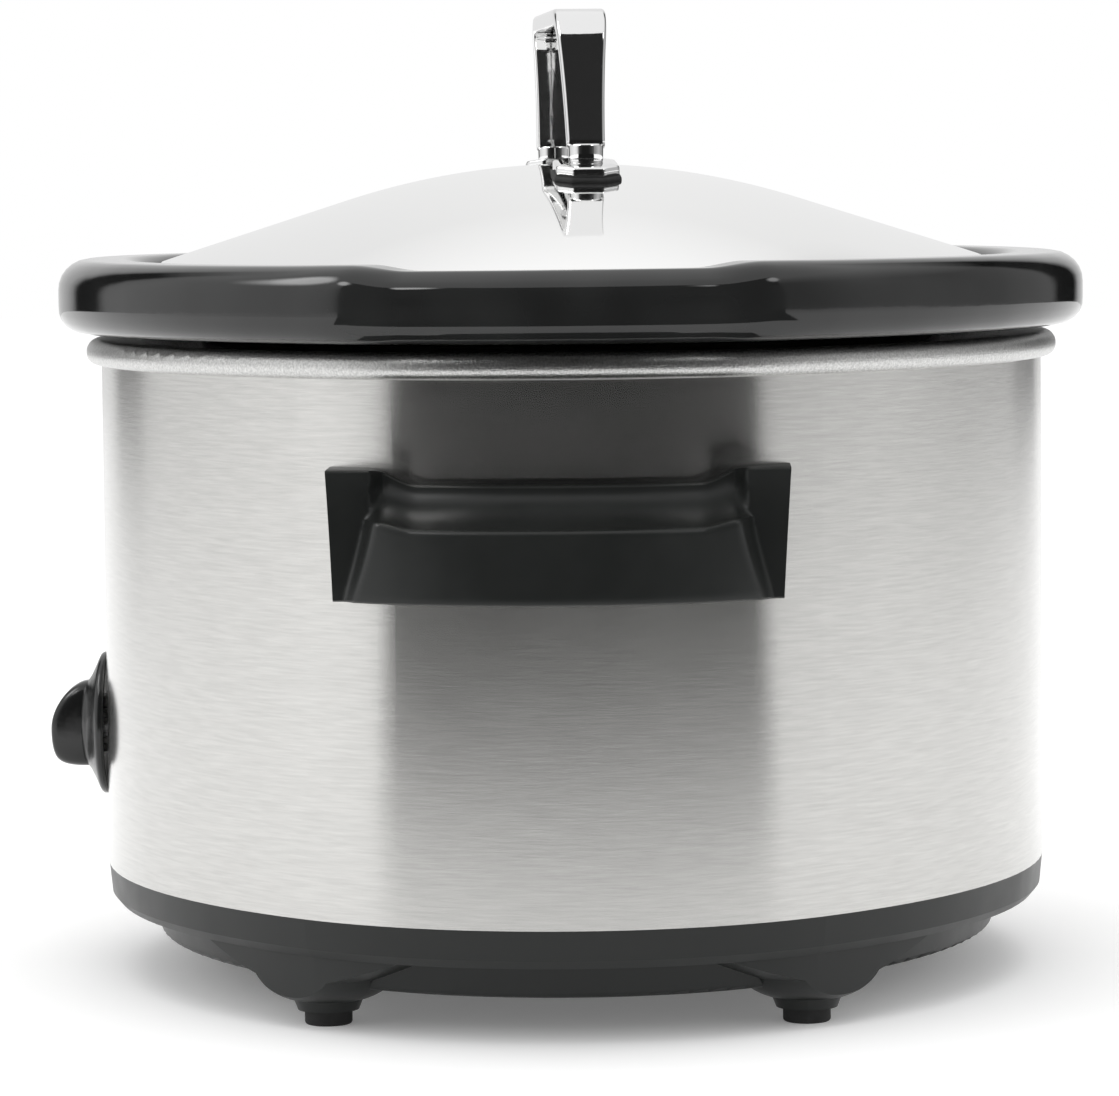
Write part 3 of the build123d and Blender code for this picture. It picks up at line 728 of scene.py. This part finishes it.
class COOKER_OT_lid(bpy.types.Operator):
    """Build the polished lid with its turned-down edge"""

    bl_idname = "cooker.lid"
    bl_label = "Lid"

    def execute(self, context):
        """Shares of the lid's edge point run out over the dome, down round the brim and back inside."""
        sizes = context.scene.cooker_sizes
        low, foot = LID_LOW[2], LID_LOW[2] + 0.5 * MM
        theta = np.linspace(0, 2 * math.pi, 360, endpoint=False)[None, :]
        edge_x, edge_y = oval(theta, -sizes.lid_inset)
        share = np.concatenate([np.linspace(0.004, 0.97, 80), [0.985, 0.994]])[:, None]
        outside = lid_height(edge_x * share, edge_y * share, sizes)
        inside = outside[:-2] - LID_SHEET
        rim = outside[-1:]
        level = 0 * rim
        brim = [rim - 0.7 * MM, level + foot, level + low, level + low, level + foot, rim - 1.6 * MM]
        brim_share = np.array([1.0, 1.0, 0.9975, 0.994, 0.991, 0.991])[:, None]
        shares = np.concatenate([share, brim_share, share[:-2][::-1]])
        heights = np.concatenate([outside, *brim, inside[::-1]])
        points = np.stack([edge_x * shares, edge_y * shares, heights], axis=-1)
        grid = closed_grid(turned(points, sizes.lid_turn), close_rows=False)
        make_piece("polished_lid", [grid], "lid", "mirror_steel", ["lid_dome"])
        return {"FINISHED"}


def arch_line(foot, arch, low, top, radius, count=120):
    """Centre line of the strap in its own plane: up one leg, round a tangent arc, along and down."""
    corners = [(-foot, low), (-arch, top), (arch, top), (foot, low)]
    rounded = round_corners(corners, [0, radius, radius, 0], 14)
    lengths = np.concatenate([[0], np.cumsum(np.linalg.norm(np.diff(rounded, axis=0), axis=1))])
    at = np.linspace(0, lengths[-1], count)
    return np.column_stack([np.interp(at, lengths, rounded[:, k]) for k in range(2)])


# Lid handle: bend of the arch, how far the legs are sunk, and its feet, as heights over the lid.
ARCH_RADIUS, STRAP_CORNER, STRAP_SUNK, COLLAR_DROP = 9.5 * MM, 0.9 * MM, 2.4 * MM, 1.7 * MM
WASHER_TOP, PLATE_TOP = 1.2 * MM, 3.6 * MM
PLATE_HALF_LENGTH, PLATE_HALF_WIDTH, PLATE_CUT = 9.5 * MM, 7.7 * MM, 4.0 * MM


class COOKER_OT_lid_handle(bpy.types.Operator):
    """Build the chrome strap, its collars and foot plates, and the rubber washers"""

    bl_idname = "cooker.lid_handle"
    bl_label = "Lid handle"

    def execute(self, context):
        sizes = context.scene.cooker_sizes
        self.strap(sizes)
        self.feet(sizes)
        return {"FINISHED"}

    def strap(self, sizes):
        """Rounded rectangle carried along the arch: point = line + across * depth, with y across the strap.

        Its width eases from the foot to the top, and its faces bulge by a tenth of their depth.
        """
        half = sizes.strap_thickness / 2
        low, top = STRAP_LOW[2] - STRAP_SUNK, STRAP_HIGH[2] - half - 0.05 * MM
        line = arch_line(sizes.leg_spacing / 2, sizes.arch_spacing / 2 + half, low, top, ARCH_RADIUS)
        along = np.gradient(line, axis=0)
        along /= np.linalg.norm(along, axis=1, keepdims=True)
        across = np.column_stack([-along[:, 1], along[:, 0]])
        share = (line[:, 1] - low) / (top - low)
        ease = 0.35 * share + 0.65 * share**2.2
        width = (sizes.strap_foot + (sizes.strap_top - sizes.strap_foot) * ease)[:, None]
        wide = sizes.strap_foot / 2
        box = [(-wide, -half), (wide, -half), (wide, half), (-wide, half)]
        shape = round_corners(box, [STRAP_CORNER] * 4, 5)
        side = np.sign(shape[:, 0])
        y = shape[:, 0][None, :] + side[None, :] * (width - sizes.strap_foot) / 2
        bulge = 1 - (y / (width / 2)) ** 2
        depth = shape[:, 1][None, :] * (1 + 0.10 * bulge)
        x = line[:, 0][:, None] + across[:, 0][:, None] * depth
        z = np.minimum(line[:, 1][:, None] + across[:, 1][:, None] * depth, STRAP_HIGH[2])
        points = turned(np.stack([x, y, z], axis=-1), sizes.lid_turn)
        grid = closed_grid(points, close_rows=False)
        make_piece("chrome_strap", [grid], "lid", "chrome", ["lid_handle"])

    def feet(self, sizes):
        """Eight-sided plates that follow the lid, with a turned collar on each."""
        plates, washers = [], []
        for side in (-1, 1):
            centre = side * sizes.leg_spacing / 2
            plates.append(self.plate(sizes, centre, WASHER_TOP, PLATE_TOP, 0.0))
            plates.append(self.collar(sizes, centre, STRAP_LOW[2] - COLLAR_DROP))
            washers.append(self.plate(sizes, centre, 0.02 * MM, WASHER_TOP, 0.5 * MM))
        make_piece("strap_feet", plates, "lid", "chrome", ["handle_feet"])
        make_piece("foot_washers", washers, "lid", "rubber", ["handle_gaskets"])

    def plate(self, sizes, centre, under, over, grow):
        """Outline rings of an octagon, laid on the lid's surface between two heights over it.

        Point = (centre + reach * outline, lid_height + height), ring by ring.
        """
        a, b, cut = PLATE_HALF_LENGTH + grow, PLATE_HALF_WIDTH + grow, PLATE_CUT
        corners = [
            (a, cut - b), (a, b - cut), (a - cut, b), (cut - a, b),
            (-a, b - cut), (-a, cut - b), (cut - a, -b), (a - cut, -b),
        ]
        outline = even_outline(round_corners(corners, [0.8 * MM] * 8, 4), 96)
        edge = 0.6 * MM
        rings = np.array([
            (0.05, under), (0.9, under), (1.0, under), (1.0, over - edge),
            (1 - edge / a * 0.3, over - edge * 0.3), (1 - edge / a, over),
            (0.7, over + 0.2 * MM), (0.05, over + 0.3 * MM),
        ])
        reach, height = rings[:, :1], rings[:, 1:]
        x, y = centre + outline[:, 0] * reach, outline[:, 1] * reach
        z = lid_height(x, y, sizes) + height
        return closed_grid(turned(np.stack([x, y, z], axis=-1), sizes.lid_turn), close_rows=False)

    def collar(self, sizes, centre, top):
        """A profile of (radius, height) turned about the leg's foot, with a rolled top edge."""
        profile = np.array([
            (0.2, 0), (4.3, 0), (4.2, 0.9), (4.1, 1.2), (4.2, 1.5),
            (4.25, 3.0), (4.3, 4.6), (4.2, 5.1), (3.9, 5.4), (0.2, 5.4),
        ]) * MM
        theta = np.linspace(0, 2 * math.pi, 64, endpoint=False)[None, :]
        x = centre + profile[:, :1] * np.cos(theta)
        y = profile[:, :1] * np.sin(theta)
        z = top - profile[-1, 1] + profile[:, 1:] + 0 * theta
        return closed_grid(turned(np.stack([x, y, z], axis=-1), sizes.lid_turn), close_rows=False)


# Side handle: bow of its front, drop of its back ridge, height of its front panel, finger pocket.
BOW_RADIUS, RIDGE_DROP, POCKET_DEPTH = 82 * MM, 3.6 * MM, 10.5 * MM
PANEL_HEIGHT, PANEL_RISE = 16.4 * MM, 1.4 * MM
CHEEK_START, CHEEK_SPREAD, CHEEK_EASE, CHEEK_TAPER = 39.2 * MM, 7.8 * MM, 3.6 * MM, 0.036


class COOKER_OT_side_handles(bpy.types.Operator):
    """Build the two bowed side handles with their scooped tops and flat cheeks"""

    bl_idname = "cooker.side_handles"
    bl_label = "Side handles"

    def execute(self, context):
        for end, node in ((1, "side_handle_right"), (-1, "side_handle_left")):
            grid = self.grip(end)
            make_piece(node + "_grip", [grid], "housing", "black_plastic", [node], bevel=0.5 * MM)
        return {"FINISHED"}

    def grip(self, end):
        """One section for each place across the grip, blended from the scooped middle to the cheek.

        Both sections have the same number of (distance out, height) points, so each point of the
        grip is middle * (1 - share) + cheek * share, with an eased share that starts further out
        lower down. The whole narrows a little toward its underside.
        """
        half, low, high = GRIP_HIGH[1], GRIP_LOW[2], GRIP_HIGH[2]
        tip = GRIP_HIGH[0] - 0.2 * MM
        across = np.sin(np.linspace(-1, 1, 161) * math.pi / 2) * (half - 0.05 * MM)
        size = np.abs(across)
        wall = END_SHIFT + np.sqrt((END_RADIUS - 0.3 * MM) ** 2 - across**2)
        bow = tip - BOW_RADIUS + np.sqrt(BOW_RADIUS**2 - across**2)
        ridge = high - RIDGE_DROP * (1 - smooth_step(size, 32 * MM, 43 * MM))
        panel = low + PANEL_HEIGHT + PANEL_RISE * smooth_step(size, 32 * MM, 41 * MM)
        pocket = POCKET_DEPTH * (1 - smooth_step(size, 30 * MM, 33 * MM))
        middle = self.bowed(wall, bow, ridge, panel, low, pocket)
        cheek = self.cheek(wall, ridge, low, middle)
        fall = (high - middle[..., 1]) / (high - low)
        edge = CHEEK_START + CHEEK_SPREAD * np.clip(fall, 0, 1) ** 1.6
        share = smooth_step(size[:, None], edge, edge + CHEEK_EASE)[..., None]
        profile = middle * (1 - share) + cheek * share
        y = across[:, None] * (1 - CHEEK_TAPER * (high - profile[..., 1]) / (high - low))
        points = np.stack([profile[..., 0] * end, y, profile[..., 1]], axis=-1)
        return closed_grid(points, close_rows=False)

    def bowed(self, wall, front, ridge, panel, low, pocket):
        """(distance out, height) points: wall top, quarter-round scoop, panel, lip, finger pocket, wall.

        The scoop runs by an angle from 0 to 90 degrees: out = start + (shelf - start) (1 - cos)^0.85
        and height = panel + rise (1 - sin)^1.1. The panel's face is a straight line down to the lip.
        """
        wall, front, ridge, panel, pocket = (v[:, None] for v in (wall, front, ridge, panel, pocket))
        start, shelf = wall + 5.0 * MM, front - 4.0 * MM
        turn = np.linspace(0.06, 0.97, 14)[None, :] * math.pi / 2
        scoop_out = start + (shelf - start) * (1 - np.cos(turn)) ** 0.85
        scoop_height = panel + 0.3 * MM + (ridge - panel - 0.8 * MM) * (1 - np.sin(turn)) ** 1.1
        share = np.linspace(0.06, 0.95, 12)[None, :]
        face_out = front - 1.3 * MM * (1 - share)
        face_height = panel - 0.7 * MM + (low + 0.9 * MM - panel) * share
        out = [
            wall, wall + 2.0 * MM, wall + 4.3 * MM, start, scoop_out,
            front - 2.4 * MM, front - 1.7 * MM, front - 1.3 * MM, face_out,
            front - 0.2 * MM, front - 0.9 * MM, front - 4.0 * MM, front - 4.4 * MM, front - 5.0 * MM,
            wall + 4.6 * MM, wall + 4.2 * MM, wall + 4.0 * MM, wall,
        ]
        level = low + 0 * wall
        height = [
            ridge, ridge, ridge, ridge - 0.5 * MM, scoop_height,
            panel + 0.3 * MM, panel, panel - 0.7 * MM, face_height,
            level + 0.4 * MM, level, level, level + 0.35 * pocket, level + pocket,
            level + pocket, level + 0.35 * pocket, level, level,
        ]
        return np.stack([np.concatenate(out, axis=1), np.concatenate(height, axis=1)], axis=-1)

    def cheek(self, wall, ridge, low, middle):
        """The same points drawn in to a hollow face: out = half length + 2.5 mm + 6.5 mm fall^1.8.

        The first points run along the top and the last eight back along the underside to the wall.
        """
        fall = (ridge[:, None] - middle[..., 1]) / (ridge[:, None] - low)
        face = HALF_LENGTH + (2.5 + 6.5 * np.clip(fall, 0, 1) ** 1.8) * MM
        out, height = middle[..., 0].copy(), middle[..., 1].copy()
        out[:, 3:] = face[:, 3:]
        back = np.array([0.985, 0.8, 0.7, 0.6, 0.4, 0.3, 0.2, 0.0])
        span = HALF_LENGTH + 8.6 * MM - wall
        out[:, -8:] = wall[:, None] + span[:, None] * back
        out[:, 2] = face[:, 2] - 0.7 * MM
        out[:, 1] = 0.5 * (wall + out[:, 2])
        height[:, -7:] = low
        return np.stack([out, height], axis=-1)


GRIP_HALF_WIDTH, GRIP_HALF_HEIGHT, GRIP_SPRING = 6.4 * MM, 10.9 * MM, 4.0 * MM


class COOKER_OT_knob(bpy.types.Operator):
    """Build the control knob: coned flange and a rounded grip"""

    bl_idname = "cooker.knob"
    bl_label = "Control knob"

    def execute(self, context):
        make_piece("dial_knob", [self.flange(), self.grip()], "knob", "knob_plastic", ["control_knob"])
        return {"FINISHED"}

    def place(self, x, up, out):
        """Points given across the knob's face and outward, set on its axis."""
        centre_z = (KNOB_LOW[2] + KNOB_HIGH[2]) / 2
        return np.stack([x, KNOB_HIGH[1] - out, centre_z + up], axis=-1)

    def flange(self):
        """A profile of (radius, distance out) turned about the knob's axis, hollow behind."""
        profile = np.array([
            (8.9, 2.2), (14.0, 2.0), (16.4, 0.4), (16.9, -0.45), (17.6, -0.45), (18.0, -0.1),
            (18.0, 0.9), (17.6, 1.5), (16.4, 2.1), (14.4, 3.0), (12.2, 4.1), (10.9, 5.0),
            (10.2, 5.8), (8.0, 6.2), (0.1, 6.2), (0.1, 2.2),
        ]) * MM
        profile[:, 0] *= (KNOB_HIGH[0] - 0.02 * MM) / profile[:, 0].max()
        theta = np.linspace(0, 2 * math.pi, 128, endpoint=False)[None, :]
        x = profile[:, :1] * np.cos(theta)
        up = profile[:, :1] * np.sin(theta)
        return closed_grid(self.place(x, up, profile[:, 1:] + 0 * x))

    def grip(self):
        """Height over the oblong |x|^p + |up|^p = 1: a long bow, rounded off by (1 - share^9)^(1/3)."""
        share = np.sin(np.linspace(0.01, 1, 40) * math.pi / 2)[:, None]
        theta = np.linspace(0, 2 * math.pi, 128, endpoint=False)[None, :]
        power = 3.2
        size = (np.abs(np.cos(theta)) ** power + np.abs(np.sin(theta)) ** power) ** (-1 / power)
        x = GRIP_HALF_WIDTH * size * np.cos(theta) * share
        up = GRIP_HALF_HEIGHT * size * np.sin(theta) * share
        tall = KNOB_HIGH[1] - KNOB_LOW[1] - 0.05 * MM
        lean = (up + 1.5 * MM) / (12.5 * MM)
        bow = tall * (1 - 0.47 * np.clip(lean, 0, 1) ** 2 - 0.15 * np.clip(-lean, 0, 1) ** 2)
        out = GRIP_SPRING + (bow - GRIP_SPRING) * (1 - share**9) ** (1 / 3)
        top = self.place(x, up, out)
        foot = self.place(x[-1:], up[-1:], 0 * x[-1:] + GRIP_SPRING - 1 * MM)
        return closed_grid(np.concatenate([top, foot], axis=0), close_rows=False)


FLOOR_RADIUS = 6.0
LIT_POINT = Vector((0, 0, 0.12))
# Name, place, size and watts of each soft box.
SOFTBOXES = (
    ("top_softbox", (0.2, 0.0, 1.7), (1.8, 1.4), 7.0),
    ("left_softbox", (0.7, -1.6, 0.9), (1.1, 1.3), 4.0),
    ("right_softbox", (0.6, 1.8, 0.9), (0.8, 1.3), 1.5),
)
# The camera's angles in radians and its place in metres.
CAMERA_TURN, CAMERA_PITCH, CAMERA_ROLL = 0.0249, 0.0720, -0.0098
CAMERA_DISTANCE, CAMERA_ASIDE, CAMERA_HEIGHT = 1.3228, -0.0035, 0.1989


class COOKER_OT_stage(bpy.types.Operator):
    """Lay the pale floor, set the soft lights and place the camera"""

    bl_idname = "cooker.stage"
    bl_label = "Stage"

    def execute(self, context):
        self.floor()
        self.cards()
        self.lights(context)
        self.camera(context)
        return {"FINISHED"}

    def floor(self):
        """Rings r (cos t, sin t, 0) of a flat disc, closer together near the cooker."""
        radius = np.linspace(0.0, 1.0, 40)[:, None] ** 1.5 * FLOOR_RADIUS + 1 * MM
        theta = np.linspace(0, 2 * math.pi, 96, endpoint=False)[None, :]
        points = np.stack([radius * np.cos(theta), radius * np.sin(theta), 0 * radius * theta], axis=-1)
        finish = Finish("pale_floor_paint", (0.955, 0.955, 0.955), 0.75)
        finish.set(Specular_IOR_Level=0.0, Emission_Strength=0.14)
        finish.set(Emission_Color=(1, 1, 1, 1))
        finish.vary_colour(finish.noise(3.0, 2.0), 0.995, 1.0)
        floor = self.sheet("pale_floor", points, finish.material, closed=True)
        floor.data.shade_smooth()

    def cards(self):
        """What only reflections see: a round screen, a dark mat and canopy in front, and soft discs."""
        turn = np.linspace(-math.pi, math.pi, 145)[None, :]
        height = np.linspace(0, SCREEN_TOP, 8)[:, None]
        x, y = SCREEN_RADIUS * np.cos(turn) + 0 * height, SCREEN_RADIUS * np.sin(turn) + 0 * height
        self.card("round_screen", np.stack([x, y, height + 0 * turn], -1), screen_paint())
        turn = np.radians(np.linspace(MAT_START, MAT_END, 40))[None, :]
        radius = np.linspace(MAT_INNER, SCREEN_RADIUS, 12)[:, None]
        points = np.stack([radius * np.cos(turn), radius * np.sin(turn), MAT_LIFT + 0 * radius * turn], -1)
        self.card("dark_mat", points, flat_paint("dark_mat_paint", 0.012))
        rise = np.radians(np.linspace(CANOPY_START, CANOPY_END, 16))[:, None]
        x, y = np.cos(turn) * np.cos(rise), np.sin(turn) * np.cos(rise)
        points = CANOPY_RADIUS * np.stack([x, y, np.sin(rise) + 0 * turn], -1)
        self.card("dark_canopy", points, flat_paint("dark_canopy_paint", 0.025))
        for name, azimuth, elevation, radius, strength in DISCS:
            centre = direction(azimuth, elevation) * DISC_DISTANCE
            paint = disc_paint(name + "_paint", centre, radius, strength)
            self.card(name, disc_points(centre, radius), paint)

    def sheet(self, name, points, paint, closed=False):
        """A stage sheet from a grid of points."""
        rows, columns, _ = points.shape
        mesh = bpy.data.meshes.new(name)
        faces = grid_faces(rows, columns, False, closed).tolist()
        mesh.from_pydata(points.reshape(-1, 3).tolist(), [], faces)
        mesh.materials.append(paint)
        sheet = bpy.data.objects.new(name, mesh)
        bpy.context.scene.collection.objects.link(sheet)
        return sheet

    def card(self, name, points, paint):
        """A sheet that only glossy surfaces see."""
        card = self.sheet(name, points, paint)
        card.visible_camera = False
        card.visible_diffuse = False
        card.visible_shadow = False
        card.visible_transmission = False

    def lights(self, context):
        """A white surround and three soft boxes that light the cooker without showing in it."""
        world = bpy.data.worlds.new("studio")
        world.use_nodes = True
        background = world.node_tree.nodes["Background"]
        background.inputs["Color"].default_value = (1, 1, 1, 1)
        background.inputs["Strength"].default_value = 1.0
        context.scene.world = world
        context.scene.view_settings.view_transform = "Standard"
        for name, place, size, power in SOFTBOXES:
            data = bpy.data.lights.new(name, "AREA")
            data.shape = "RECTANGLE"
            data.size, data.size_y = size
            data.energy = power
            lamp = bpy.data.objects.new(name, data)
            lamp.location = place
            lamp.rotation_euler = (LIT_POINT - Vector(place)).to_track_quat("-Z", "Y").to_euler()
            lamp.visible_glossy = False
            context.scene.collection.objects.link(lamp)

    def camera(self, context):
        """Looking along the oval from beyond its end, a little above the rim."""
        level_back = Vector((math.cos(CAMERA_TURN), math.sin(CAMERA_TURN), 0))
        right = Vector((-math.sin(CAMERA_TURN), math.cos(CAMERA_TURN), 0))
        forward = -level_back * math.cos(CAMERA_PITCH) - Vector((0, 0, math.sin(CAMERA_PITCH)))
        up = right.cross(forward)
        place = level_back * CAMERA_DISTANCE + right * CAMERA_ASIDE + Vector((0, 0, CAMERA_HEIGHT))
        rolled_right = right * math.cos(CAMERA_ROLL) + up * math.sin(CAMERA_ROLL)
        rolled_up = up * math.cos(CAMERA_ROLL) - right * math.sin(CAMERA_ROLL)
        facing = Matrix((rolled_right, rolled_up, -forward)).transposed().to_4x4()
        data = bpy.data.cameras.new("camera")
        data.sensor_width = 36.0
        data.lens = 168.4
        data.clip_start = 0.05
        camera = bpy.data.objects.new("camera", data)
        camera.matrix_world = Matrix.Translation(place) @ facing
        context.scene.collection.objects.link(camera)
        context.scene.camera = camera


class COOKER_PT_panel(bpy.types.Panel):
    """Lists the sizes, the colours and the steps"""

    bl_label = "Slow cooker"
    bl_idname = "COOKER_PT_panel"
    bl_space_type = "VIEW_3D"
    bl_region_type = "UI"
    bl_category = "Slow cooker"

    def draw(self, context):
        for group in (context.scene.cooker_sizes, context.scene.cooker_finishes):
            box = self.layout.box()
            for key in group.bl_rna.properties.keys():
                if key not in ("rna_type", "name"):
                    box.prop(group, key)
        for operator in OPERATORS:
            self.layout.operator(operator.bl_idname)


OPERATORS = (
    COOKER_OT_housing,
    COOKER_OT_crock,
    COOKER_OT_lid,
    COOKER_OT_lid_handle,
    COOKER_OT_side_handles,
    COOKER_OT_knob,
    COOKER_OT_stage,
)
CLASSES = (CookerSizes, CookerFinishes, *OPERATORS, COOKER_PT_panel)


def register():
    for cls in CLASSES:
        bpy.utils.register_class(cls)
    bpy.types.Scene.cooker_sizes = bpy.props.PointerProperty(type=CookerSizes)
    bpy.types.Scene.cooker_finishes = bpy.props.PointerProperty(type=CookerFinishes)


def unregister():
    del bpy.types.Scene.cooker_finishes
    del bpy.types.Scene.cooker_sizes
    for cls in reversed(CLASSES):
        bpy.utils.unregister_class(cls)


def main():
    """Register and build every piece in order."""
    register()
    bpy.ops.cooker.housing()
    bpy.ops.cooker.crock()
    bpy.ops.cooker.lid()
    bpy.ops.cooker.lid_handle()
    bpy.ops.cooker.side_handles()
    bpy.ops.cooker.knob()
    bpy.ops.cooker.stage()


if __name__ == "__main__":
    main()
